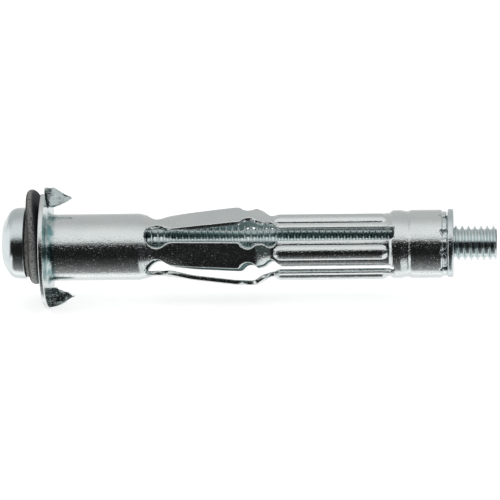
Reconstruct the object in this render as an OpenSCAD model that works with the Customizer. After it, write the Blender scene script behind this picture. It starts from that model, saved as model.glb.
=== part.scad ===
// Hollow wall anchor: a zinc-plated sheet steel sleeve with a clawed flange and bowed legs,
// a collared nut locked in its far end, a pan head machine screw and a rubber ring under the head.
// The anchor lies along +X, on the edges of the notch that one claw left in the flange's rim.
// The origin is on its axis, in the flange face that bears on the wall.

/* [Sheet] */
// Thickness of the sleeve's sheet metal
sheet_t = 0.5; // [0.4:0.05:0.6]

/* [Barrel] */
// Outer radius of the plain barrel behind the flange
barrel_r = 3.77; // [3.7:0.01:3.9]
// Distance from the flange face to the end of the plain barrel
barrel_len = 10.4; // [8:0.2:11]
// Radius of the bend between flange and barrel
flange_bend_r = 0.75; // [0.55:0.05:1]

/* [Flange] */
// Radius of the round flange
flange_r = 6.83; // [6.4:0.01:7.4]

/* [Claws] */
// Height of a claw above the flange face
claw_h = 2.7; // [2:0.1:3.2]
// Radius at which a claw starts
claw_in_r = 4.55; // [4.4:0.05:4.8]
// Radius of a claw's point
claw_tip_r = 5.56; // [5.3:0.02:5.8]

/* [Legs] */
// Number of legs
leg_count = 5; // [5:1:6]
// Turn from a claw to the next leg, in degrees
claw_to_leg = 33; // [0:0.5:36]
// Length over which the sleeve is pinched in, from barrel to waist
pinch_len = 1.9; // [1.6:0.1:2.4]
// Outer radius at the waist where the legs start
waist_r = 3.29; // [3.2:0.01:3.4]
// Length of the bowed stretch, from waist to second hinge
bow_len = 13; // [11:0.5:16]
// Outer radius at the crown of the bow
crown_r = 4.47; // [4.2:0.01:4.7]
// Length of the straight stretch of the legs
straight_len = 12.9; // [11:0.1:18]
// Outer radius of the legs' flanks beside the beads
flank_r = 3.57; // [3.5:0.01:3.6]

/* [Slots] */
// Radius of the round hole that starts each slot
hole_r = 1.36; // [1.2:0.01:1.5]
// Distance from the waist to the middle of that hole
hole_at = 0.2; // [0:0.05:0.4]
// Half width of a slot between its round hole and the bow, and along the beads
slot_half = 0.73; // [0.6:0.01:0.85]
// Half width of a slot where the bow is widest
bow_slot_half = 1.3; // [1.05:0.01:1.4]
// Radius of the round hinge notches at the crown
hinge_r = 1.05; // [0.9:0.01:1.2]
// Radius of the round notches at the second hinge
dip_hinge_r = 0.8; // [0.7:0.01:0.95]

/* [Beads] */
// Radius of the bead's round section
bead_r = 1.08; // [1:0.02:1.4]
// Height of the bead above the flanks
bead_h = 0.37; // [0.25:0.01:0.42]

/* [Nut end] */
// Outer radius of the sleeve around the nut
end_r = 3.85; // [3.8:0.01:3.95]
// Distance from the end of the straight stretch to the sleeve's end
end_len = 6.2; // [5.8:0.1:7]
// Distance from the end of the straight stretch to the rolled groove
groove_at = 2.5; // [2.3:0.1:2.8]
// Depth of the rolled groove
groove_h = 0.26; // [0.15:0.01:0.3]
// Number of V cuts in the crimped edge around the nut
serration_count = 10; // [6:1:12]

/* [Nut] */
// Radius of the collar that closes the sleeve's end
collar_r = 3.87; // [3.8:0.01:4]
// Length of the collar
collar_len = 0.7; // [0.5:0.05:1]
// Length of the neck between sleeve and collar
neck_len = 0.6; // [0.4:0.05:0.8]

/* [Screw] */
// Nominal diameter of the thread
thread_d = 4; // [3.9:0.05:4]
// Length of the screw under its head
screw_len = 53; // [50:1:60]
// Diameter of the pan head
head_d = 8.12; // [7.6:0.04:8.4]
// Height of the pan head
head_h = 2.72; // [2.4:0.04:3.1]
// Lean of screw and nut in the sleeve, in degrees
screw_lean = 0.65; // [0:0.05:0.7]

/* [Ring] */
// Outer radius of the rubber ring
ring_r = 5.36; // [5:0.02:5.8]
// Thickness of the rubber ring's disc
ring_t = 1.28; // [1:0.02:1.5]
// Radius of the raised collar that the head presses on
shoulder_r = 3.85; // [3.4:0.05:4]
// Height of the raised collar
shoulder_h = 0.48; // [0.3:0.02:0.6]
// Distance that the disc sits off the collar's centre
ring_shift = 0.75; // [0:0.05:0.9]

/* [Hidden] */

arc_step = 15;        // most degrees between the points of a rounded corner
far = 20;             // reaches past the anchor sideways
cut = 1;              // how far a cut runs past a face
running_gap = 0.05;   // between the screw and what it runs through
seat_gap = 0.05;      // between pieces that touch
leg_pitch = 360 / leg_count;
claw_side = -90;      // where the claws are while the sleeve is punched
leg_turn = claw_side + claw_to_leg;

// Places along the axis, from the flange face.
waist_x = barrel_len + pinch_len;
hole_x = waist_x + hole_at;
dip_x = waist_x + bow_len;
hinge_x = dip_x - 2.5;
straight_end_x = dip_x + straight_len;
end_x = straight_end_x + 0.7;
slot_end_x = end_x + 0.25;
groove_x = straight_end_x + groove_at;
groove_half = 0.42;
sleeve_end_x = straight_end_x + end_len;
nut_x = groove_x + groove_half + 0.15;
neck_x = sleeve_end_x + seat_gap;
collar_x = neck_x + neck_len;
nut_end_x = collar_x + collar_len;
nut_mid_x = (nut_x + nut_end_x) / 2;

// A claw's root ends just inside the rim, and its notch is as wide as the claw is high.
claw_root_r = flange_r - 0.06;
notch_w = sheet_t + claw_h;
// Turn of the upper claw from +Z towards +Y that brings the lower one's notch straight down.
claw_turn = atan((claw_root_r - sqrt(pow(flange_r, 2) - pow(notch_w, 2))) / (notch_w - sheet_t));

// The ring sits on the flange's outer face, and the screw's head on the ring.
thread_r = thread_d / 2;
head_r = head_d / 2;
ring_x = -sheet_t - seat_gap - (ring_r + ring_shift) * sin(screw_lean);
shoulder_x = ring_x - ring_t;
head_x = shoulder_x - shoulder_h - seat_gap;

// ---- Outlines ----

function unit(v) = v / norm(v);

// Points of the arc of radius r that rounds the corner b between a and c.
function corner(a, b, c, r) =
    let (u = unit(a - b),
         w = unit(c - b),
         half = acos(u * w) / 2,
         centre = b + unit(u + w) * r / sin(half),
         from = b + u * r / tan(half) - centre,
         to = b + w * r / tan(half) - centre,
         start = atan2(from.y, from.x),
         turn = atan2(from.x * to.y - from.y * to.x, from * to),
         steps = 1 + ceil(abs(turn) / arc_step))
    [for (k = [0:steps]) centre + r * [cos(start + turn * k / steps), sin(start + turn * k / steps)]];

// A path whose corners [x, y, radius] are rounded.
function rounded(path) =
    let (last = len(path) - 1,
         at = [for (p = path) [p.x, p.y]])
    [for (i = [0:last]) each
        i == 0 || i == last || path[i][2] == 0 ? [at[i]] : corner(at[i - 1], at[i], at[i + 1], path[i][2])];

// The path moved sideways by t, to the right of its direction.
function beside(path, t) =
    let (last = len(path) - 1)
    [for (i = [0:last])
        let (d = unit(path[min(i + 1, last)] - path[max(i - 1, 0)]))
        path[i] + t * [d.y, -d.x]];

function reversed(list) = [for (i = [len(list) - 1:-1:0]) list[i]];

// ---- Helpers ----

// Lays a piece that was made along +Z down along +X, with its +X side facing +Z.
module lay() {
    rotate([0, 90, 0]) rotate([0, 0, 180]) children();
}

// Leans screw and nut about the middle of the nut, so that the head moves towards +Z.
module lean() {
    translate([nut_mid_x, 0, 0]) rotate([0, screw_lean, 0]) translate([-nut_mid_x, 0, 0]) children();
}

// Revolves an outline given as [axial place, radius].
module turned(outline) {
    rotate_extrude($fn = 96) polygon([for (p = outline) [p.y, p.x]]);
}

// Pushes a flat shape, drawn as [sideways, along the axis], out from the axis at one angle.
module outward(angle) {
    rotate([0, 0, angle]) rotate([90, 0, 90]) linear_extrude(far) children();
}

// ---- Sleeve ----

// Outer face of the sheet, from the flange's rim to the sleeve's end.
sheet_face = rounded([
    [0, flange_r, 0],
    [0, barrel_r, flange_bend_r],
    [barrel_len, barrel_r, 1.6],
    [waist_x, waist_r, 1.4],
    [dip_x - 4.1, crown_r - 0.09, 4],
    [dip_x - 1.45, crown_r + 0.03, 1],
    [dip_x, flank_r, 0.6],
    [straight_end_x, flank_r, 0.8],
    [end_x, end_r, 0.8],
    [groove_x - groove_half, end_r, 0.6],
    [groove_x, end_r - groove_h, 0.3],
    [groove_x + groove_half, end_r, 0.6],
    [sleeve_end_x, end_r, 0]
]);

// The formed tube before anything is punched out of it, down to its axis.
module outer_form() {
    turned(concat([[-sheet_t, 0], [-sheet_t, flange_r]], sheet_face, [[sleeve_end_x, 0]]));
}

// The hollow of that tube, with the sheet's thickness left around it.
module inner_form() {
    inner_face = [for (p = beside(sheet_face, sheet_t)) if (p.y < barrel_r) p];
    turned(concat(
        [[-sheet_t - cut, 0], [-sheet_t - cut, inner_face[0].y]],
        inner_face,
        [[sleeve_end_x + cut, end_r - sheet_t], [sleeve_end_x + cut, 0]]
    ));
}

// A slot starts in a round hole, widens over the bow, is notched at both hinges, then runs straight.
module slot(angle) {
    outward(angle) {
        translate([0, hole_x]) circle(r = hole_r, $fn = 48);
        polygon([for (side = [1, -1]) each
            let (edge = [
                [slot_half, hole_x],
                [slot_half, hole_x + hole_r],
                [bow_slot_half - 0.09, hinge_x - hinge_r],
                [bow_slot_half + 0.12, dip_x - 1.4],
                [slot_half, dip_x + 0.8],
                [slot_half, slot_end_x - 0.3],
                [slot_half - 0.09, slot_end_x - 0.09],
                [slot_half - 0.3, slot_end_x]
            ])
            [for (p = side > 0 ? edge : reversed(edge)) [side * p.x, p.y]]
        ]);
        for (side = [-1, 1]) {
            translate([side * (bow_slot_half + 0.63 - hinge_r), hinge_x]) circle(r = hinge_r, $fn = 48);
            translate([side * (bow_slot_half + 0.2 - dip_hinge_r), dip_x - 0.1]) circle(r = dip_hinge_r, $fn = 48);
        }
    }
}

// A long bead with rounded ends that stiffens a leg. less makes the hollow under it.
module bead(angle, less) {
    first = dip_x;
    last = straight_end_x + 0.2;
    r = bead_r - less;
    rotate([0, 0, angle]) translate([flank_r + bead_h - bead_r, 0, 0]) turned(rounded([
        [first + less, 0, 0],
        [first + less, r, 0.8 * r],
        [last - less, r, 0.8 * r],
        [last - less, 0, 0]
    ]));
}

// A claw's outline from its root to its point and back, as [radius, height above the flange].
claw_edge = rounded([
    [claw_root_r, 0, 0],
    [claw_root_r - 0.18, claw_h * 0.35, 2],
    [claw_tip_r + 0.42, claw_h * 0.78, 2],
    [claw_tip_r, claw_h, 0],
    [claw_tip_r - 0.48, claw_h * 0.75, 2],
    [claw_in_r, claw_h * 0.25, 0.8],
    [claw_in_r, 0, 0]
]);

// A claw stands where its flap was cut out of the flange, folded up about a radial line.
module claw() {
    translate([0, sheet_t, 0]) rotate([90, 0, 0]) linear_extrude(sheet_t)
        polygon(concat([[claw_root_r, -sheet_t]], claw_edge, [[claw_in_r, -sheet_t]]));
}

// The notch that the flap left in the flange's rim.
module claw_notch() {
    translate([0, sheet_t / 2, -sheet_t - cut]) linear_extrude(sheet_t + 2 * cut) polygon([
        [claw_in_r, 0],
        [claw_in_r, notch_w - sheet_t / 2 - claw_h * 0.7],
        [claw_tip_r, notch_w - sheet_t / 2],
        [far, notch_w - sheet_t / 2],
        [far, 0]
    ]);
}

// A V cut in the crimped edge around the nut.
module serration(angle) {
    outward(angle)
        polygon([[0, sleeve_end_x - 0.5], [0.32, sleeve_end_x + cut], [-0.32, sleeve_end_x + cut]]);
}

module sleeve() {
    color("silver") lay() rotate([0, 0, -claw_turn - claw_side]) {
        difference() {
            union() {
                difference() {
                    outer_form();
                    for (i = [1:leg_count]) slot(leg_turn + (i - 0.5) * leg_pitch);
                    for (i = [1:serration_count]) serration(leg_turn + i * 360 / serration_count);
                }
                for (i = [1:leg_count]) bead(leg_turn + i * leg_pitch, 0);
            }
            inner_form();
            for (i = [1:leg_count]) bead(leg_turn + i * leg_pitch, sheet_t);
            for (side = [0, 180]) rotate([0, 0, side + claw_side]) claw_notch();
        }
        for (side = [0, 180]) rotate([0, 0, side + claw_side]) claw();
    }
}

// ---- Nut ----

nut_r = end_r - sheet_t - seat_gap;
neck_r = end_r - 0.24;
bore_r = thread_r + running_gap;

module nut() {
    color("gainsboro") lean() lay() turned(concat(
        [[nut_x, bore_r + 0.3], [nut_x, nut_r - 0.3], [nut_x + 0.3, nut_r]],
        [[neck_x, nut_r], [neck_x, neck_r]],
        rounded([
            [collar_x, neck_r, 0],
            [collar_x, collar_r, 0.2],
            [nut_end_x, collar_r, 0.25],
            [nut_end_x, bore_r + 0.3, 0]
        ]),
        [[nut_end_x - 0.3, bore_r], [nut_x + 0.3, bore_r]]
    ));
}

// ---- Screw ----

// Half outline of the screw, from the middle of its head to its tip.
screw_edge = rounded([
    [head_x - head_h, 0, 0],
    [head_x - head_h, head_r * 0.57, 2.2],
    [head_x - head_h * 0.62, head_r * 0.985, 1.1],
    [head_x - head_h * 0.4, head_r, 1.5],
    [head_x, head_r, 0],
    [head_x, thread_r, 0],
    [head_x + screw_len - 0.4, thread_r, 0],
    [head_x + screw_len, thread_r - 0.4, 0],
    [head_x + screw_len, 0, 0]
]);

// Cross recess for a number 2 driver.
module recess() {
    depth = 2.1;
    wing = 2.15;
    translate([0, 0, head_x - head_h - cut]) intersection() {
        union() for (turn = [0, 90]) rotate([0, 0, turn]) translate([-wing, -0.45, 0])
            cube([2 * wing, 0.9, depth + cut]);
        cylinder(r1 = wing + 0.25, r2 = 0.7, h = depth + cut, $fn = 48);
    }
}

module screw() {
    color("lightgray") lean() lay() difference() {
        turned(screw_edge);
        recess();
    }
}

// ---- Ring ----

// The disc with its full round edge, as [axial place, radius].
disc_edge = rounded([
    [ring_x, 0, 0],
    [ring_x, ring_r, ring_t / 2 - 0.01],
    [shoulder_x, ring_r, ring_t / 2 - 0.01],
    [shoulder_x, 0, 0]
]);

module sealing_ring() {
    color("#26282a") lean() lay() difference() {
        union() {
            translate([ring_shift, 0, 0]) turned(disc_edge);
            translate([0, 0, shoulder_x - shoulder_h]) cylinder(r = shoulder_r, h = shoulder_h + cut / 2, $fn = 96);
        }
        translate([0, 0, shoulder_x - shoulder_h - cut])
            cylinder(r = thread_r + running_gap, h = ring_t + shoulder_h + 2 * cut, $fn = 96);
    }
}

sleeve();
nut();
screw();
sealing_ring();
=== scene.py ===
import math
import bmesh
import bpy
from mathutils import Matrix, Vector, noise


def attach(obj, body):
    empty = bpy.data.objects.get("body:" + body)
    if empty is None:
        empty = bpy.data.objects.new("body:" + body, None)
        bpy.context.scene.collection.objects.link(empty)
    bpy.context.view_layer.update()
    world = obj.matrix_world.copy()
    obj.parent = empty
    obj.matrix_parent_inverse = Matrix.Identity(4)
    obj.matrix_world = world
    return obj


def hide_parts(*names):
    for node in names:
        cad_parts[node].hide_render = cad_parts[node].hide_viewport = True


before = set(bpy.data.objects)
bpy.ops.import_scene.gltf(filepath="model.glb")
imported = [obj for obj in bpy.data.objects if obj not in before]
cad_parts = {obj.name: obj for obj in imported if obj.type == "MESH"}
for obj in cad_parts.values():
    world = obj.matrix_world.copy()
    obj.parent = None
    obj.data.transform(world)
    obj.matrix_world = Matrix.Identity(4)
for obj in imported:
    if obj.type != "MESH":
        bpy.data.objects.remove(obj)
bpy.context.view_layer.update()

# ---- sizes in millimetres, with x along the anchor's axis from the flange face on the wall ----
# The main ones are part.scad's. BEAD_R, GROOVE_H and LEAN differ a little from it, to fit the photo,
# and what part.scad has no word for, such as RAISE, LEG_BOW and the creases, comes from the photo too.

MM = 0.001
PER_METRE = 1000

# sheet, barrel, waist, bow and straight stretch of the sleeve
SHEET = 0.5
FLANGE_R = 6.83
BEND_R = 0.75
BARREL_R = 3.77
BARREL_LEN = 10.4
WAIST_X = BARREL_LEN + 1.9
WAIST_R = 3.29
CROWN_R = 4.47
DIP_X = WAIST_X + 13
FLANK_R = 3.57
STRAIGHT_END = DIP_X + 12.9
END_X = STRAIGHT_END + 0.7
END_R = 3.85
GROOVE_X = STRAIGHT_END + 2.5
GROOVE_H = 0.17
SLEEVE_END = STRAIGHT_END + 6.2

# crimped edge with its V cuts, which step by an angle in degrees
CRIMP_START = SLEEVE_END - 0.6
CRIMP_END = SLEEVE_END + 0.58
CUT_STEP = 36
CUT_HALF = 0.4
CUT_DEPTH = 0.75
CUT_PINCH = 0.1
RAGGED = 0.06

# claws, folded up out of the flange and turned from the top by angles in degrees
CLAW_H = 2.7
CLAW_IN_R = 4.55
CLAW_TIP_R = 5.56
CLAW_TURN = 15.29
UPPER_CLAW, LOWER_CLAW = -CLAW_TURN, 180 - CLAW_TURN
UPPER_TILT, LOWER_TILT = -16, 2
TILT_R = 5.7
CLAW_DENT = 0.15
FOLD_R = 0.18
FLAP_EDGE = -0.15
FLAP_SLANT = 0.7 * CLAW_H
NOTCH_W = SHEET + CLAW_H
FLANGE_DEPTH = 0.3

# legs, with angles in degrees and how much further out each bow stands
LEGS = 5
LEG_STEP = 360 / LEGS
CLAW_TO_LEG = 33
LEG_AT = [CLAW_TO_LEG - CLAW_TURN + LEG_STEP * i for i in range(LEGS)]
LEG_BOW = [-0.12, 0.0, 0.1, 0.0, -0.52]
BOW_RISE = (WAIST_X + 0.6, WAIST_X + 4.5)
BOW_FALL = (DIP_X - 2.2, DIP_X - 0.6)
# a bowed leg's face is flat across, at this share of its radius from the axis
LEG_FLAT = 0.985
# how deep the sheet's broad and small dents are, and how closely they follow each other
DENTS = ((0.012, 0.45), (0.004, 1.7))

# slots between the legs, with the round notches of their two hinges
HOLE_X = WAIST_X + 0.2
HOLE_R = 1.36
SLOT_HALF = 0.73
BOW_HALF = 1.3
HINGE_X = DIP_X - 2.5
HINGE_R = 1.05
DIP_HINGE_X = DIP_X - 0.1
DIP_HINGE_R = 0.8
SLOT_START = HOLE_X - HOLE_R
SLOT_END = END_X + 0.25
SLOT_TIP = 0.55
SLOT_TIP_X = SLOT_END - SLOT_TIP
# the corners between these places are softened over EASE, and over more beside the round hole
EASE_START = HOLE_X + 0.6
EASE_END = SLOT_END - 0.75
EASE = 0.16
HOLE_EASE = 0.34
HOLE_EASE_OVER = 0.9

# beads on the legs, the crease at a bead's foot, and the flanks bent in beside it over some degrees
BEAD_R = 1.04
BEAD_H = 0.37
BEAD_START = DIP_X + 1.1
BEAD_END = STRAIGHT_END - 0.6
CREASE_H = 0.04
CREASE_W = 0.05
DROOP_H = 0.18
DROOP_FROM = 13
DROOP_OVER = 17

# the sleeve's mesh: distances between its stations, and how its edges are finished
FINE_STEP = 0.14
CLOSE_STEP = 0.03
EVEN_STEP = 0.34
EVEN_STRETCHES = (
    (1.5, BARREL_LEN - 1),
    (WAIST_X + 2.7, DIP_X - 4.8),
    (DIP_X + 2.2, STRAIGHT_END - 1.2),
)
BEND_END = 1.2
EDGE_W = 0.16
EDGE_BEVEL = 0.1
CLAW_BEVEL = 0.04
# how close together points of the sleeve or the head count as one, in metres
WELD = 1e-7
WALL_SPLAY = 0.12
# degrees in a radian, rounded, for the strip along a leg's edge
DEGREES = 57.3
# where the points of a leg lie between its middle and its edge, closest at the bead's foot
HALF_ACROSS = [0.14, 0.28, 0.41, 0.52, 0.585, 0.62, 0.65, 0.68, 0.715, 0.775, 0.88, 1.0, 1.0]
ACROSS = [-f for f in reversed(HALF_ACROSS)] + [0.0] + HALF_ACROSS
# the material slots of the sleeve, of which the claws take the last; the inner faces' and the claws'
# slots hold darker copies of the zinc, painted shade
OUTSIDE, INSIDE, RIM = 0, 1, 2

# nut
NUT_X = GROOVE_X + 0.57
NUT_R = END_R - SHEET - 0.06
NECK_X = SLEEVE_END + 0.05
NECK_R = END_R - 0.78
COLLAR_X = NECK_X + 0.6
COLLAR_R = 3.87
NUT_END = COLLAR_X + 0.7
NUT_MID = (NUT_X + NUT_END) / 2
BORE_R = 1.99
BORE_CHAMFER = 0.3

# rubber ring
RING_X = -0.619
RING_R = 5.36
RING_T = 1.28
SHOULDER_R = 3.85
SHOULDER_H = 0.48
RING_SHIFT = 0.75
RING_ROUND = RING_T / 2 - 0.01
# how strongly the upper and the lower half of the disc curl, and how much thinner its top is
CURL_UP = 0.023
CURL_DOWN = 0.005
TOP_THINNED = 0.16

# screw, which leans by an angle in radians and stands a little above the sleeve's axis
THREAD_R = 2.0
CREST_R = THREAD_R - 0.015
THREAD_H = 0.43
PITCH = 0.7
# shares of half a pitch that the crest and a flank take
CREST_SHARE = 0.12
FLANK_SHARE = 0.68
HEAD_R = 4.06
HEAD_H = 2.72
HEAD_X = RING_X - RING_T - SHOULDER_H - 0.05
HEAD_TOP = HEAD_X - HEAD_H
THREAD_START = HEAD_X - 0.185
SCREW_LEN = 53
TIP_X = HEAD_X + SCREW_LEN
TIP_R = 1.8
TIP_TAPER = 0.7
LEAN = math.radians(0.6)
RAISE = 0.08

# cross recess: depth, half the width of an arm, and an arm's reach at the top and at the bottom
RECESS_DEPTH = 2.1
RECESS_HALF = 0.4
RECESS_REACH = 2.5
RECESS_FOOT = 0.75

# camera: places in metres, as from_photo takes them, and angles in radians
CAMERA_AT = (0.046, 0.0, 0.384)
CAMERA_AIM = (0.0228, -0.0005, 0)
CAMERA_TILT = math.radians(15.3)
CAMERA_ROLL = math.radians(0.6)
SENSOR_W = 36
LENS = 245.4

# floor, which the edges of the flange's lower notch rest on
FLOOR_Z = -6.665
FLOOR_HALF = 3000


# ---- shape helpers ----


def around(x, r, beta):
    """The point at x along the axis and r from it, turned beta degrees from +Z towards -Y."""
    b = math.radians(beta)
    return (x, -r * math.sin(b), r * math.cos(b))


def leaned(p):
    """Turned with screw and nut about the middle of the nut, and raised with them."""
    x, z = p[0] - NUT_MID, p[2]
    return (
        NUT_MID + x * math.cos(LEAN) + z * math.sin(LEAN),
        p[1],
        z * math.cos(LEAN) - x * math.sin(LEAN) + RAISE,
    )


def smoothstep(a, b, x):
    """Rises smoothly from 0 at a to 1 at b."""
    t = min(1.0, max(0.0, (x - a) / (b - a)))
    return t * t * (3 - 2 * t)


def smooth_max(a, b, k=0.03):
    """The larger of two values, with a small rounding of size k where they meet."""
    return a if b < a - 1 else (a + b + math.sqrt((a - b) ** 2 + k * k)) / 2


def height_at(path, x):
    """The second coordinate of a path where it passes x, or at its end."""
    for (x0, y0), (x1, y1) in zip(path, path[1:]):
        if x0 < x1 and x0 <= x <= x1:
            return y0 + (y1 - y0) * (x - x0) / (x1 - x0)
    return path[-1][1]


def rounded(path, step=5):
    """A path whose corners (x, r, radius) are rounded, in steps of so many degrees."""
    out = []
    for i, (x, y, r) in enumerate(path):
        b = Vector((x, y))
        if i in (0, len(path) - 1) or r == 0:
            out.append(tuple(b))
            continue
        u = (Vector(path[i - 1][:2]) - b).normalized()
        w = (Vector(path[i + 1][:2]) - b).normalized()
        half = u.angle(w) / 2
        centre = b + (u + w).normalized() * r / math.sin(half)
        first = b + u * r / math.tan(half) - centre
        last = b + w * r / math.tan(half) - centre
        start = math.atan2(first.y, first.x)
        turn = math.atan2(first.x * last.y - first.y * last.x, first.dot(last))
        n = 1 + math.ceil(abs(math.degrees(turn)) / step)
        for k in range(n + 1):
            a = start + turn * k / n
            out.append((centre.x + r * math.cos(a), centre.y + r * math.sin(a)))
    return out


def resampled(path, longest):
    """A path with points added until none of its pieces is longer than longest."""
    out = [path[0]]
    for (x0, y0), (x1, y1) in zip(path, path[1:]):
        n = max(1, math.ceil(math.dist((x0, y0), (x1, y1)) / longest))
        out += [(x0 + (x1 - x0) * k / n, y0 + (y1 - y0) * k / n) for k in range(1, n + 1)]
    return out


def revolve(outline, steps, move, wobble=None, closed=False):
    """Points and faces of an outline of (x, r) turned about the axis."""
    verts, faces = [], []
    n = len(outline)
    for k in range(steps):
        beta = 360 * k / steps
        for x, r in outline:
            if wobble:
                x, r = wobble(x, r, beta)
            verts.append(move(around(x, r, beta)))
    for k in range(steps):
        k2 = (k + 1) % steps
        for i in range(n if closed else n - 1):
            j = (i + 1) % n
            faces.append((k * n + i, k * n + j, k2 * n + j, k2 * n + i))
    return verts, faces


# ---- mesh helpers ----


def shade_smooth(o):
    for p in o.data.polygons:
        p.use_smooth = True


def mesh_object(name, verts, faces):
    """A mesh object from points in millimetres."""
    me = bpy.data.meshes.new(name)
    me.from_pydata([tuple(c * MM for c in v) for v in verts], [], faces)
    me.update()
    o = bpy.data.objects.new(name, me)
    bpy.context.scene.collection.objects.link(o)
    shade_smooth(o)
    return o


def opened(o):
    """An object's mesh, ready for editing."""
    bm = bmesh.new()
    bm.from_mesh(o.data)
    return bm


def write_back(bm, o):
    bm.to_mesh(o.data)
    bm.free()


def outward_normals(o):
    bm = opened(o)
    bmesh.ops.recalc_face_normals(bm, faces=bm.faces)
    write_back(bm, o)


def apply_modifiers(o):
    dg = bpy.context.evaluated_depsgraph_get()
    me = bpy.data.meshes.new_from_object(o.evaluated_get(dg))
    o.modifiers.clear()
    o.data = me


def join(o, others):
    """Adds other objects' meshes to an object's own and removes those objects."""
    bm = opened(o)
    for other in others:
        bm.from_mesh(other.data)
    write_back(bm, o)
    for other in others:
        bpy.data.objects.remove(other)


# ---- node helpers ----


class Nodes:
    """Adds nodes to a tree that it empties first."""

    def __init__(self, tree):
        self.tree = tree
        tree.nodes.clear()

    def feed(self, socket, value):
        """Links a socket to another node's output, or sets its number, vector or colour."""
        if isinstance(value, bpy.types.NodeSocket):
            self.tree.links.new(value, socket)
        elif socket.type == "RGBA":
            socket.default_value = (*value, 1)
        else:
            socket.default_value = value

    def add(self, kind, inputs=None, **props):
        n = self.tree.nodes.new(kind)
        for k, v in props.items():
            setattr(n, k, v)
        for k, v in (inputs or {}).items():
            self.feed(n.inputs[k], v)
        return n

    def math(self, op, a, b=0.0, clamp=False):
        return self.add("ShaderNodeMath", {0: a, 1: b}, operation=op, use_clamp=clamp).outputs[0]

    def times(self, a, b):
        return self.math("MULTIPLY", a, b)

    def larger(self, a, b):
        return self.math("MAXIMUM", a, b)

    def split(self, vector):
        """The x, y and z of a vector."""
        return self.add("ShaderNodeSeparateXYZ", {0: vector}).outputs

    def between(self, value, start, end, low=0.0, high=1.0):
        """Goes from low to high as value goes from start to end."""
        inputs = {"Value": value, 1: start, 2: end, 3: low, 4: high}
        return self.add("ShaderNodeMapRange", inputs).outputs[0]

    def clouds(self, vector, scale, detail, roughness=0.5):
        inputs = {"Vector": vector, "Scale": scale, "Detail": detail, "Roughness": roughness}
        return self.add("ShaderNodeTexNoise", inputs).outputs["Fac"]

    def ramp(self, value, stops):
        """Colours, or shares of white, at places from 0 to 1."""
        n = self.add("ShaderNodeValToRGB", {"Fac": value})
        e = n.color_ramp.elements
        while len(e) > 1:
            e.remove(e[-1])
        for i, (p, c) in enumerate(stops):
            el = e[0] if i == 0 else e.new(p)
            el.position = p
            el.color = (*c, 1) if isinstance(c, tuple) else (c, c, c, 1)
        return n.outputs["Color"]

    def mix(self, fac, a, b):
        n = self.add("ShaderNodeMix", data_type="RGBA")
        for socket, value in ((n.inputs[0], fac), (n.inputs[6], a), (n.inputs[7], b)):
            self.feed(socket, value)
        return n.outputs[2]

    def bump(self, height, distance, strength):
        inputs = {"Height": height, "Distance": distance * MM, "Strength": strength}
        return self.add("ShaderNodeBump", inputs).outputs[0]

    def surface(self, inputs):
        """Ends a material in a Principled shader."""
        b = self.add("ShaderNodeBsdfPrincipled", inputs)
        self.add("ShaderNodeOutputMaterial", {"Surface": b.outputs[0]})


def material(name):
    m = bpy.data.materials.new(name)
    m.use_nodes = True
    return m, Nodes(m.node_tree)


# ---- zinc plating ----


def shaded_in_bend(n, co, colour, strength):
    """The colour with a painted dark blue-green shade in the bend behind the flange, in cloudy patches.
    """
    place = n.between(n.split(co)[0], -0.3 * MM, 2.1 * MM)
    place = n.ramp(place, [(0.1, 0.0), (0.16, 0.7), (0.3, 1.0), (0.42, 1.0), (0.6, 0.0)])
    shade_patches = n.ramp(n.clouds(co, 1100.0, 2.0), [(0.4, 0.45), (0.56, 1.0)])
    # painted shade: dark blue-green mixed into the colour in the bend behind the flange
    return n.mix(n.times(n.times(place, shade_patches), strength), colour, (0.1, 0.27, 0.28))


def zinc(name, light, dark, rough=0.13, grain=1.0, scratch=1.0, bend_shade=0.0):
    """Bright zinc plating: two cloudy colours, a fine grain with pits, and faint long scratches, with
    bend_shade as the strength of a painted dark blue-green shade in the bend behind the flange.
    """
    m, n = material(name)
    co = n.add("ShaderNodeTexCoord").outputs["Object"]
    cloud = n.clouds(co, 450.0, 3.0)
    colour = n.mix(n.ramp(cloud, [(0.3, 0.0), (0.7, 1.0)]), light, dark)
    # painted shade in the bend behind the flange
    if bend_shade:
        colour = shaded_in_bend(n, co, colour, bend_shade)
    fine = n.clouds(co, 7500.0, 1.0)
    coarse = n.clouds(co, 1300.0, 1.0)
    pits = n.ramp(n.clouds(co, 6000.0, 0.0), [(0.63, 0.0), (0.76, 1.0)])
    drawn = n.add("ShaderNodeMapping", {"Vector": co, "Scale": (0.06, 1.0, 1.0)}).outputs[0]
    lines = n.clouds(drawn, 6000.0, 3.0)
    height = n.math("ADD", n.times(fine, 0.25 * grain), n.times(coarse, 0.2 * grain))
    height = n.math("ADD", height, n.times(lines, 0.12 * scratch))
    height = n.math("SUBTRACT", height, n.times(pits, 0.24 * grain))
    etched = n.times(n.ramp(fine, [(0.54, 0.0), (0.66, 1.0)]), 0.16 * grain)
    roughness = n.between(cloud, 0.3, 0.7, rough * 0.75, rough * 1.35)
    n.surface({
        "Base Color": colour,
        "Metallic": 1.0,
        "Roughness": n.math("ADD", roughness, etched),
        "Normal": n.bump(height, 0.035, 1.0),
    })
    return m


# ---- sleeve ----

face_path = rounded([
    (0, FLANGE_R, 0),
    (0, BARREL_R, BEND_R),
    (BARREL_LEN, BARREL_R, 1.6),
    (WAIST_X, WAIST_R, 1.4),
    (DIP_X - 4.1, CROWN_R - 0.09, 4),
    (DIP_X - 1.7, CROWN_R - 0.02, 1.4),
    (DIP_X, FLANK_R, 0.7),
    (STRAIGHT_END + 0.32, FLANK_R, 0.25),
    (END_X + 0.02, END_R, 0.5),
    (GROOVE_X - 0.9, END_R, 1.0),
    (GROOVE_X - 0.05, END_R - GROOVE_H, 0.2),
    (GROOVE_X + 0.28, END_R, 0.5),
    (SLEEVE_END + 0.02, END_R, 0.25),
    (SLEEVE_END + 0.14, END_R - 0.2, 0.15),
    (CRIMP_END, END_R - 0.24, 0),
])

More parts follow.
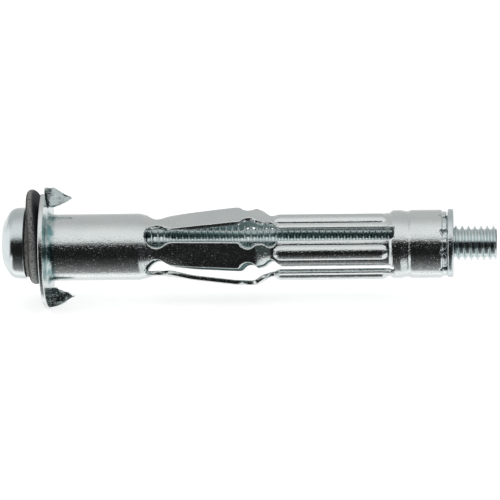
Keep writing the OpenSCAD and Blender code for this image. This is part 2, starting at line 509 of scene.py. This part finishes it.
# half width of a slot from its round hole to its rounded end, without the round notches
slot_edge = [
    (HOLE_X, SLOT_HALF),
    (HOLE_X + HOLE_R, SLOT_HALF),
    (HINGE_X - HINGE_R, BOW_HALF - 0.09),
    (DIP_X - 1.4, BOW_HALF + 0.12),
    (DIP_X + 0.8, SLOT_HALF),
    (SLOT_TIP_X, SLOT_HALF),
]

# the round hole and notches: how far off the slot's middle, where along the axis, and their radius
slot_rounds = [
    (0.0, HOLE_X, HOLE_R),
    (BOW_HALF + 0.63 - HINGE_R, HINGE_X, HINGE_R),
    (BOW_HALF + 0.2 - DIP_HINGE_R, DIP_HINGE_X, DIP_HINGE_R),
]


def slot_half(x):
    """Half width of a slot, measured flat, at x along the axis."""
    w = 0.0
    if HOLE_X <= x <= SLOT_TIP_X:
        w = height_at(slot_edge, x)
    elif SLOT_TIP_X < x < SLOT_END:
        w = SLOT_HALF * (1 - ((x - SLOT_TIP_X) / SLOT_TIP) ** 3) ** (1 / 3)
    for off, middle, r in slot_rounds:
        if abs(x - middle) < r:
            w = max(w, off + math.sqrt(r * r - (x - middle) ** 2))
    return w


def eased_slot_half(x):
    """slot_half with its corners softened, and nothing outside the slot."""
    if x <= SLOT_START or x >= SLOT_END:
        return 0.0
    if EASE_START < x < EASE_END:
        reach = EASE + HOLE_EASE * max(0.0, 1 - abs(x - HOLE_X - HOLE_R) / HOLE_EASE_OVER)
        return sum(slot_half(x + reach * share) for share in (-1, -0.5, 0, 0.5, 1)) / 5
    return slot_half(x)


def bead_radius(x, delta):
    """Distance from the axis to the bead's surface, delta degrees from the leg's middle, or -1."""
    along = max(0.0, BEAD_START - x, x - BEAD_END)
    rc = FLANK_R + BEAD_H - BEAD_R
    s = rc * math.sin(math.radians(delta))
    rest = BEAD_R**2 - s * s - along**2
    return rc * math.cos(math.radians(delta)) + math.sqrt(rest) if rest > 0 else -1.0


def droop(x, delta):
    """How far the flanks beside a bead are bent in towards the slots."""
    beside = smoothstep(DIP_X, DIP_X + 1, x) * (1 - smoothstep(BEAD_END, STRAIGHT_END + 0.3, x))
    return DROOP_H * beside * max(0.0, (abs(delta) - DROOP_FROM) / DROOP_OVER) ** 2


def bowed(x):
    """How far x is inside the bowed stretch, from 0 to 1."""
    return smoothstep(*BOW_RISE, x) * (1 - smoothstep(*BOW_FALL, x))


def beaded(x, r, delta):
    """The radius with the bead and the sharp crease pressed in along its foot."""
    flank, bead = r - droop(x, delta), bead_radius(x, delta)
    return smooth_max(flank, bead) - CREASE_H * math.exp(-(((bead - flank) / CREASE_W) ** 2))


def sleeve_point(x, r, delta, leg, bow):
    """The outer face's point delta degrees from the middle of the leg at an angle, bowed out by bow."""
    r = beaded(x, r, delta)
    flat = bowed(x)
    d = math.radians(delta)
    out = r * (math.cos(d) + flat * (LEG_FLAT - math.cos(d))) + bow * flat
    aside = r * math.sin(d)
    r = math.hypot(out, aside)
    beta = leg + math.degrees(math.atan2(aside, out))
    if x > 1:
        q = Vector(around(x, r, beta))
        r += sum(depth * noise.noise(q * often) for depth, often in DENTS)
    if x > CRIMP_START:
        k = min(1, x - CRIMP_START) ** 2
        from_cut = abs((beta - leg + CUT_STEP / 2) % CUT_STEP - CUT_STEP / 2) * math.radians(END_R)
        cut = max(0.0, 1 - from_cut / CUT_HALF)
        x -= k * (CUT_DEPTH * cut + RAGGED * noise.noise(Vector((beta * 0.2, 3.1, 0.0))))
        r -= k * (CUT_PINCH * cut + RAGGED * noise.noise(Vector((beta * 0.13, 9.0, 0.0))))
    return around(x, r, beta)


def sleeve_stations():
    """Points (x, r) along the outer face, closest where it bends or a slot is round."""
    stations = []
    for x, r in resampled(face_path, FINE_STEP):
        even = any(start < x < end for start, end in EVEN_STRETCHES)
        if not stations or math.dist(stations[-1], (x, r)) > (EVEN_STEP if even else CLOSE_STEP):
            stations.append((x, r))
    extra = [HOLE_X - HOLE_R * math.cos(math.radians(t)) for t in (0, 9, 18, 27, 37, 48, 60, 72)]
    extra += [SLOT_TIP_X + SLOT_TIP * share for share in (0.5, 0.7, 0.85, 0.94, 0.985, 1.0)]
    extra = [(x, height_at(stations, x)) for x in extra]
    stations = [s for s in stations if min(abs(s[0] - x) for x, r in extra) > CLOSE_STEP] + extra
    flange = [s for s in stations if s[0] < BEND_END]
    return flange + sorted(s for s in stations if s[0] >= BEND_END)


def sleeve_skin():
    """Points and faces of the sleeve's outer face, one strip for each leg."""
    stations = sleeve_stations()
    cols = len(ACROSS)
    verts, faces = [], []
    for x, r in stations:
        half = LEG_STEP / 2 - math.degrees(math.asin(min(1, eased_slot_half(x) / r)))
        for leg, bow in zip(LEG_AT, LEG_BOW):
            for c, share in enumerate(ACROSS):
                delta = share * half if c in (0, cols - 1) else share * (half - EDGE_W / r * DEGREES)
                verts.append(sleeve_point(x, r, delta, leg, bow))
    for i in range(len(stations) - 1):
        for leg in range(LEGS):
            for c in range(cols - 1):
                a = (i * LEGS + leg) * cols + c
                b = a + LEGS * cols
                faces.append((a, b, b + 1, a + 1))
    return verts, faces


def cut_notches(bm):
    """Takes the claws' flaps out of the flange along straight cuts."""
    outline = [
        (CLAW_IN_R, FLAP_EDGE),
        (CLAW_IN_R, NOTCH_W - FLAP_SLANT),
        (CLAW_TIP_R, NOTCH_W),
        (FLANGE_R + 2.17, NOTCH_W),
    ]
    cuts = [(outline[0], (1, 0))] + [
        (a, (b[0] - a[0], b[1] - a[1])) for a, b in zip(outline, outline[1:])
    ]
    for turn in (UPPER_CLAW, LOWER_CLAW):
        rad = Vector(around(0, 1, turn))
        side = Vector(around(0, 1, turn + 90))

        def place(f):
            """A face's place in millimetres: along the axis, out from it, and aside of the fold."""
            c = f.calc_center_median() * PER_METRE
            return c.x, c.dot(rad), c.dot(side)

        def near_flap(f):
            x, r, s = place(f)
            return x < FLANGE_DEPTH and r > CLAW_IN_R - 0.35 and -1.2 < s < NOTCH_W + 1

        def in_flap(f):
            x, r, s = place(f)
            if x > FLANGE_DEPTH or r < CLAW_IN_R or s < FLAP_EDGE or s > NOTCH_W:
                return False
            if r < CLAW_TIP_R:
                return s < NOTCH_W - FLAP_SLANT * (CLAW_TIP_R - r) / (CLAW_TIP_R - CLAW_IN_R)
            return True

        for (start_r, start_s), (r, s) in cuts:
            near = [f for f in bm.faces if near_flap(f)]
            # each edge and corner once, in the same order every run
            edges = dict.fromkeys(e for f in near for e in f.edges)
            corners = dict.fromkeys(v for f in near for v in f.verts)
            bmesh.ops.bisect_plane(
                bm,
                geom=[*near, *edges, *corners],
                dist=WELD,
                plane_co=(start_r * rad + start_s * side) * MM,
                plane_no=(-s * rad + r * side).normalized(),
            )
        bmesh.ops.delete(bm, geom=[f for f in bm.faces if in_flap(f)], context="FACES")


def claw_skin(turn, tilt):
    """Points and faces of a claw's inner face, from its fold at the flange to its point."""
    outer = rounded([
        (0, FLANGE_R - 0.05, 0),
        (0.9, FLANGE_R - 0.23, 2),
        (2.05, FLANGE_R - 0.88, 2),
        (CLAW_H, CLAW_TIP_R, 0),
    ], 4)
    inner = rounded([
        (0, CLAW_IN_R, 0),
        (0.7, CLAW_IN_R, 0.8),
        (2.0, CLAW_IN_R + 0.52, 2),
        (CLAW_H, CLAW_TIP_R, 0),
    ], 4)
    fold_steps, rows, cols = 8, 26, 14
    top = CLAW_H - 0.02
    heights = []
    for k in range(fold_steps + 1):
        a = math.radians(90 * k / fold_steps)
        heights.append((FOLD_R - FOLD_R * math.cos(a), FOLD_R * math.sin(a) - FOLD_R))
    heights += [(FOLD_R + (top - FOLD_R) * k / rows, 0.0) for k in range(1, rows + 1)]
    rad, side = Vector(around(0, 1, turn)), Vector(around(0, 1, turn + 90))
    verts, faces = [], []
    for h, s in heights:
        r0, r1 = height_at(inner, h), height_at(outer, h)
        for c in range(cols + 1):
            r = r0 + (r1 - r0) * c / cols
            sway = smoothstep(0, 0.45, h) * (r - TILT_R) * math.tan(math.radians(tilt))
            p = rad * r + side * (s + sway) + Vector((h, 0, 0))
            if h > FOLD_R:
                p += side * CLAW_DENT * noise.noise(p * 1.5) * min(1, h)
            verts.append(tuple(p))
    n = cols + 1
    for i in range(len(heights) - 1):
        for c in range(cols):
            a = i * n + c
            faces.append((a, a + 1, a + n + 1, a + n))
    return verts, faces


def thicken(o, bevel, splay=0.0, clamp=False):
    """Gives a skin the sheet's thickness inwards and rolls its edges. splay tilts the slots' walls."""
    m = o.modifiers.new("Sheet", "SOLIDIFY")
    m.thickness = SHEET * MM
    m.offset = -1
    m.use_even_offset = True
    m.use_quality_normals = True
    m.material_offset = INSIDE
    m.material_offset_rim = RIM
    apply_modifiers(o)
    bm = opened(o)
    moves = {}
    for f in [f for f in bm.faces if f.material_index == RIM]:
        for v in f.verts:
            slotted = SLOT_START - 1 < v.co.x * PER_METRE < SLOT_END + 1
            if slotted and any(g.material_index == INSIDE for g in v.link_faces):
                moves.setdefault(v, Vector())
                moves[v] += f.normal
    for v, n in moves.items():
        v.co += n.normalized() * splay * MM
    for face in (OUTSIDE, INSIDE):
        edges = [
            e for e in bm.edges
            if e.is_manifold
            and {f.material_index for f in e.link_faces} == {face, RIM}
            and e.verts[0].co.x * PER_METRE < CRIMP_START
        ]
        bmesh.ops.bevel(
            bm, geom=edges, offset=bevel * MM, offset_type="OFFSET", segments=2, profile=0.5,
            affect="EDGES", clamp_overlap=clamp, material=OUTSIDE,
        )
    for f in bm.faces:
        f.smooth = True
        if f.material_index == RIM:
            f.material_index = OUTSIDE
    write_back(bm, o)


def make_claw(turn, tilt, materials):
    claw = mesh_object("claw", *claw_skin(turn, tilt))
    side = Vector(around(0, 1, turn + 90))
    middle = claw.data.polygons[len(claw.data.polygons) // 2]
    if middle.normal.dot(side) > 0:
        claw.data.flip_normals()
    for m in materials:
        claw.data.materials.append(m)
    thicken(claw, CLAW_BEVEL, clamp=True)
    for p in claw.data.polygons:
        p.material_index = RIM
    return claw


def make_sleeve():
    o = mesh_object("sleeve_sheet", *sleeve_skin())
    for m in (zinc_sheet, zinc_inside_shaded, zinc_claw_shaded):
        o.data.materials.append(m)
    bm = opened(o)
    bmesh.ops.remove_doubles(bm, verts=bm.verts, dist=WELD)
    bmesh.ops.dissolve_degenerate(bm, dist=1e-8, edges=bm.edges)
    cut_notches(bm)
    bm.normal_update()
    # the skin's normals point away from the axis, which its last face shows
    last = max(bm.faces, key=lambda f: f.calc_center_median().x)
    c = last.calc_center_median()
    if last.normal.dot(Vector((0, c.y, c.z))) < 0:
        bmesh.ops.reverse_faces(bm, faces=bm.faces)
    write_back(bm, o)
    thicken(o, EDGE_BEVEL, WALL_SPLAY)
    claws = [
        make_claw(turn, tilt, o.data.materials)
        for turn, tilt in ((UPPER_CLAW, UPPER_TILT), (LOWER_CLAW, LOWER_TILT))
    ]
    join(o, claws)
    shade_smooth(o)
    return o


# the sheet's zinc, with painted dark blue-green shade in the bend behind the flange
zinc_sheet = zinc("zinc_sheet", (0.87, 0.91, 0.9), (0.81, 0.87, 0.87), bend_shade=0.9)
# painted shade: the sleeve's inner faces get a darker blue-green copy of the zinc
zinc_inside_shaded = zinc("zinc_inside_shaded", (0.5, 0.64, 0.64), (0.38, 0.54, 0.54), 0.35)
# painted shade: the claws get a darker blue-green copy of the sheet's zinc, with a coarser grain
zinc_claw_shaded = zinc("zinc_claw_shaded", (0.62, 0.69, 0.69), (0.5, 0.58, 0.58), 0.2, 1.5)
sleeve = make_sleeve()
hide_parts("sleeve")
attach(sleeve, "anchor")

# ---- nut ----


def make_nut():
    outline = rounded([
        (NUT_X + BORE_CHAMFER, BORE_R, 0),
        (NUT_X, BORE_R + BORE_CHAMFER, 0.03),
        (NUT_X, NUT_R, 0.2),
        (NECK_X, NUT_R, 0.02),
        (NECK_X, NECK_R, 0.06),
        (COLLAR_X, NECK_R, 0.1),
        (COLLAR_X, COLLAR_R, 0.2),
        (NUT_END, COLLAR_R, 0.25),
        (NUT_END, BORE_R + BORE_CHAMFER, 0.05),
        (NUT_END - BORE_CHAMFER, BORE_R, 0),
    ], 12)
    return mesh_object("nut_bush", *revolve(resampled(outline, 0.3), 128, leaned, closed=True))


nut = make_nut()
outward_normals(nut)
nut.data.materials.append(zinc("zinc_nut", (0.78, 0.84, 0.85), (0.7, 0.78, 0.8)))
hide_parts("nut")
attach(nut, "anchor")

# ---- screw ----


def thread_radius(phase):
    """Distance from the axis at a phase of 0 to 1 along one pitch of the thread."""
    d = abs(phase - 0.5) * 2
    return CREST_R - min(max((d - CREST_SHARE) / FLANK_SHARE, 0), 1) * THREAD_H


def make_thread():
    """Points and faces of the helical thread, with the screw's flat end."""
    steps = 48
    phases = [0.0, 0.1, 0.24, 0.38, 0.46, 0.54, 0.62, 0.76, 0.9]
    n = len(phases)
    total = math.ceil((TIP_X - THREAD_START) / PITCH) * steps
    verts, faces = [], []
    for i in range(total + 1):
        for phase in phases:
            x = min(THREAD_START + PITCH * (i / steps + phase), TIP_X)
            r = min(thread_radius(phase), TIP_R + (TIP_X - x) * TIP_TAPER)
            verts.append(leaned(around(x, r, 360 * i / steps)))
    for i in range(total):
        for k in range(n - 1):
            a, d = i * n + k, (i + 1) * n + k
            faces.append((a, a + 1, d + 1, d))
        # the groove's last column meets the first of the next turn
        if i + steps + 1 <= total:
            a, d = i * n + n - 1, (i + 1) * n + n - 1
            faces.append((a, (i + steps) * n, (i + steps + 1) * n, d))
    first = len(verts)
    verts += [leaned(around(TIP_X - 0.001, TIP_R + 0.01, 360 * k / steps)) for k in range(steps)]
    verts.append(leaned((TIP_X, 0, 0)))
    faces += [(first + k, first + (k + 1) % steps, first + steps) for k in range(steps)]
    return verts, faces


def cross(reach, half):
    """The corners of a cross whose arms reach out so far and are two halves wide."""
    return [
        (reach, half), (half, half), (half, reach), (-half, reach), (-half, half), (-reach, half),
        (-reach, -half), (-half, -half), (-half, -reach), (half, -reach), (half, -half), (reach, -half),
    ]


def recess_cutter():
    """A cross that narrows towards its bottom."""
    top, low = HEAD_TOP - 0.6, HEAD_TOP + RECESS_DEPTH
    verts = [leaned((top, y, z)) for y, z in cross(RECESS_REACH, RECESS_HALF + 0.08)]
    n = len(verts)
    verts += [leaned((low, y, z)) for y, z in cross(RECESS_FOOT, RECESS_HALF - 0.1)]
    faces = [tuple(range(n)), tuple(range(2 * n - 1, n - 1, -1))]
    faces += [(i, i + n, (i + 1) % n + n, (i + 1) % n) for i in range(n)]
    o = mesh_object("recess", verts, faces)
    outward_normals(o)
    return o


def make_head():
    outline = rounded([
        (HEAD_TOP, 0, 0),
        (HEAD_TOP, HEAD_R * 0.57, 2.4),
        (HEAD_X - HEAD_H * 0.62, HEAD_R * 0.975, 1.2),
        (HEAD_X - HEAD_H * 0.15, HEAD_R, 3),
        (HEAD_X, HEAD_R, 0.15),
        (HEAD_X, 1.2, 0),
    ], 4)
    outline = [(x, max(r, 1e-5)) for x, r in resampled(outline, 0.25)]
    head = mesh_object("screw_head", *revolve(outline, 144, leaned))
    bm = opened(head)
    bmesh.ops.remove_doubles(bm, verts=bm.verts, dist=WELD)
    bmesh.ops.holes_fill(bm, edges=[e for e in bm.edges if e.is_boundary], sides=0)
    bmesh.ops.recalc_face_normals(bm, faces=bm.faces)
    write_back(bm, head)
    cutter = recess_cutter()
    recess = head.modifiers.new("Recess", "BOOLEAN")
    recess.object = cutter
    recess.operation = "DIFFERENCE"
    recess.solver = "EXACT"
    edges = head.modifiers.new("Edges", "BEVEL")
    edges.width = 0.04 * MM
    edges.segments = 2
    edges.limit_method = "ANGLE"
    edges.angle_limit = math.radians(50)
    apply_modifiers(head)
    bpy.data.objects.remove(cutter)
    return head


def make_screw():
    o = mesh_object("screw_thread", *make_thread())
    outward_normals(o)
    join(o, [make_head()])
    o.name = "machine_screw"
    shade_smooth(o)
    o.data.set_sharp_from_angle(angle=math.radians(40))
    return o


screw = make_screw()
screw.data.materials.append(zinc("zinc_screw", (0.83, 0.88, 0.88), (0.73, 0.81, 0.82), 0.12, 0.6, 0.4))
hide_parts("screw")
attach(screw, "screw")

# ---- ring ----


def ring_wobble(x, r, beta):
    """The small unevenness of the moulded rubber."""
    q = Vector((math.cos(math.radians(beta)), math.sin(math.radians(beta)), x * 0.4))
    r += 0.03 * noise.noise(q * 2.0) * min(1, r / 4)
    if r > SHOULDER_R + 0.1:
        x += 0.02 * noise.noise(q * 3.0)
    return x, r


def ring_place(p):
    """Shifts the disc off the shoulder's centre, curls it, thins its top, and leans it with the screw."""
    r = math.hypot(p[1], p[2])
    if p[0] > RING_X - RING_T - 0.06 and r > SHOULDER_R:
        k = min(1, (r - SHOULDER_R) / 0.8)
        curl = CURL_UP if p[2] > 0 else CURL_DOWN
        middle = RING_X - RING_T / 2
        x = middle + (p[0] - middle) * (1 - TOP_THINNED * max(0.0, p[2]) / RING_R)
        p = (x - curl * p[2] ** 2 * k, p[1], p[2] + RING_SHIFT * k)
    return leaned(p)


def make_ring():
    hole = THREAD_R + 0.05
    back = RING_X - RING_T
    outline = rounded([
        (RING_X - 0.05, hole, 0),
        (RING_X, hole + 0.1, 0.08),
        (RING_X, RING_R, RING_ROUND),
        (back, RING_R, RING_ROUND),
        (back, SHOULDER_R, 0.12),
        (back - SHOULDER_H, SHOULDER_R, 0.12),
        (back - SHOULDER_H, hole, 0),
    ], 12)
    skin = revolve(resampled(outline, 0.12), 144, ring_place, ring_wobble, closed=True)
    return mesh_object("rubber_ring", *skin)


def rubber():
    """Black rubber with dust specks and a painted pale sheen along the disc's crown, stronger towards the
    bottom.
    """
    m, n = material("black_rubber")
    co = n.add("ShaderNodeTexCoord").outputs["Object"]
    cloud = n.clouds(co, 1300.0, 5.0, 0.65)
    dark = n.ramp(cloud, [(0.4, (0.016, 0.017, 0.018)), (0.7, (0.04, 0.042, 0.044))])
    facing = n.split(n.add("ShaderNodeTexCoord").outputs["Normal"])[0]
    # the crown, where the painted sheen lies, is picked out by the way the surface faces
    off = n.math("ABSOLUTE", n.math("ADD", facing, 0.05))
    crown = n.ramp(off, [(0.0, 1.0), (0.35, 0.9), (0.7, 0.0)])
    dust = n.ramp(n.clouds(co, 5500.0, 2.0), [(0.32, 0.0), (0.52, 1.0)])
    lower = n.between(n.split(co)[2], 1 * MM, -3 * MM, 0.4, 1.0)
    # dust specks with a painted pale sheen along the crown, paler towards the bottom
    dust_and_sheen = n.times(n.times(crown, dust), lower)
    n.surface({
        "Base Color": n.mix(dust_and_sheen, dark, (0.8, 0.8, 0.77)),
        "Roughness": 0.62,
        "Normal": n.bump(cloud, 0.04, 0.8),
    })
    return m


ring = make_ring()
outward_normals(ring)
ring.data.materials.append(rubber())
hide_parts("sealing_ring")
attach(ring, "ring")

# ---- camera ----


def from_photo(x, up, out):
    """A point given along the axis, up in the picture and out of it."""
    sin, cos = math.sin(CAMERA_TILT), math.cos(CAMERA_TILT)
    return Vector((x, up * sin - out * cos, up * cos + out * sin))


def make_camera():
    data = bpy.data.cameras.new("camera")
    data.sensor_width = SENSOR_W
    data.lens = LENS
    data.clip_start = 0.01
    data.clip_end = 10
    place = from_photo(*CAMERA_AT)
    back = (place - from_photo(*CAMERA_AIM)).normalized()
    right = from_photo(0, 1, 0).cross(back).normalized()
    up = back.cross(right).normalized()
    right, up = (
        right * math.cos(CAMERA_ROLL) - up * math.sin(CAMERA_ROLL),
        up * math.cos(CAMERA_ROLL) + right * math.sin(CAMERA_ROLL),
    )
    camera = bpy.data.objects.new("camera", data)
    bpy.context.scene.collection.objects.link(camera)
    camera.matrix_world = Matrix.Translation(place) @ Matrix((right, up, back)).transposed().to_4x4()
    return camera


bpy.context.scene.camera = make_camera()

# ---- floor ----


def floor_white():
    """Pale, and white where the camera sees it, so that only the anchor's shadow shows."""
    m, n = material("floor")
    diffuse = n.add("ShaderNodeBsdfDiffuse", {"Color": (0.9, 0.9, 0.9)}).outputs[0]
    glow = n.add("ShaderNodeEmission", {"Color": (1, 1, 1), "Strength": 0.62}).outputs[0]
    both = n.add("ShaderNodeAddShader", {0: diffuse, 1: glow}).outputs[0]
    seen = n.add("ShaderNodeLightPath").outputs["Is Camera Ray"]
    mixed = n.add("ShaderNodeMixShader", {0: seen, 1: diffuse, 2: both}).outputs[0]
    n.add("ShaderNodeOutputMaterial", {"Surface": mixed})
    return m


corners = [(x * FLOOR_HALF, y * FLOOR_HALF, FLOOR_Z) for x, y in ((-1, -1), (1, -1), (1, 1), (-1, 1))]
floor = mesh_object("floor", corners, [(0, 1, 2, 3)])
floor.data.materials.append(floor_white())
floor.visible_glossy = False

# ---- light ----

# how bright the studio is at degrees around the anchor's axis: 0 is level at the front, 90 is overhead
STUDIO = [
    (-180, 0.8),
    (-143, 0.78),
    (-119, 0.68),
    (-104, 1.0),
    (-92, 0.75),
    (-84, 0.24),
    (-62, 0.12),
    (-45, 0.046),
    (-20, 0.01),
    (20, 0.008),
    (28, 0.25),
    (33, 0.58),
    (48, 0.72),
    (70, 0.68),
    (88, 0.54),
    (108, 0.42),
    (153, 0.44),
    (176, 0.6),
    (180, 0.8),
]
PANEL = (0.78, 0.79, 0.79)
FLAG = (0.04, 0.05, 0.05)


def studio_light(n):
    """A studio that shines around the axis, with pale panels at the ends and a dark flag at the right."""
    x, y, z = n.split(n.add("ShaderNodeTexCoord").outputs["Generated"])
    angle = n.math("ARCTAN2", z, n.times(y, -1.0))
    turn = n.math("ADD", n.times(angle, 0.5 / math.pi), 0.5, clamp=True)
    light = n.ramp(turn, [((degrees + 180) / 360, level) for degrees, level in STUDIO])
    left = n.between(x, -0.78, -0.92)
    left_low = n.times(n.between(x, -0.45, -0.62), n.between(z, -0.35, -0.5))
    right_low = n.times(n.between(x, 0.55, 0.75), n.between(z, -0.3, -0.45))
    right_low = n.times(right_low, n.between(y, 0.1, 0.4))
    under = n.times(n.between(x, 0.12, 0.26), n.between(z, -0.55, -0.75))
    slope = n.times(n.between(x, 0.45, 0.6), n.between(z, -0.35, -0.5))
    right_low = n.larger(right_low, n.larger(under, slope))
    light = n.mix(n.larger(left, n.larger(left_low, right_low)), light, PANEL)
    right = n.times(n.between(x, 0.32, 0.55), n.between(y, 0.85, 0.6))
    level = n.times(n.between(z, 0.12, 0.03), n.between(z, -0.33, -0.22))
    return n.mix(n.times(right, level), light, FLAG)


def make_world():
    world = bpy.data.worlds.new("studio")
    world.use_nodes = True
    n = Nodes(world.node_tree)
    room = n.add("ShaderNodeBackground", {"Color": studio_light(n), "Strength": 1.15}).outputs[0]
    white = n.add("ShaderNodeBackground", {"Color": (1, 1, 1), "Strength": 1.0}).outputs[0]
    seen = n.add("ShaderNodeLightPath").outputs["Is Camera Ray"]
    mixed = n.add("ShaderNodeMixShader", {0: seen, 1: room, 2: white}).outputs[0]
    n.add("ShaderNodeOutputWorld", {"Surface": mixed})
    return world


bpy.context.scene.world = make_world()
bpy.context.scene.view_settings.view_transform = "Standard"
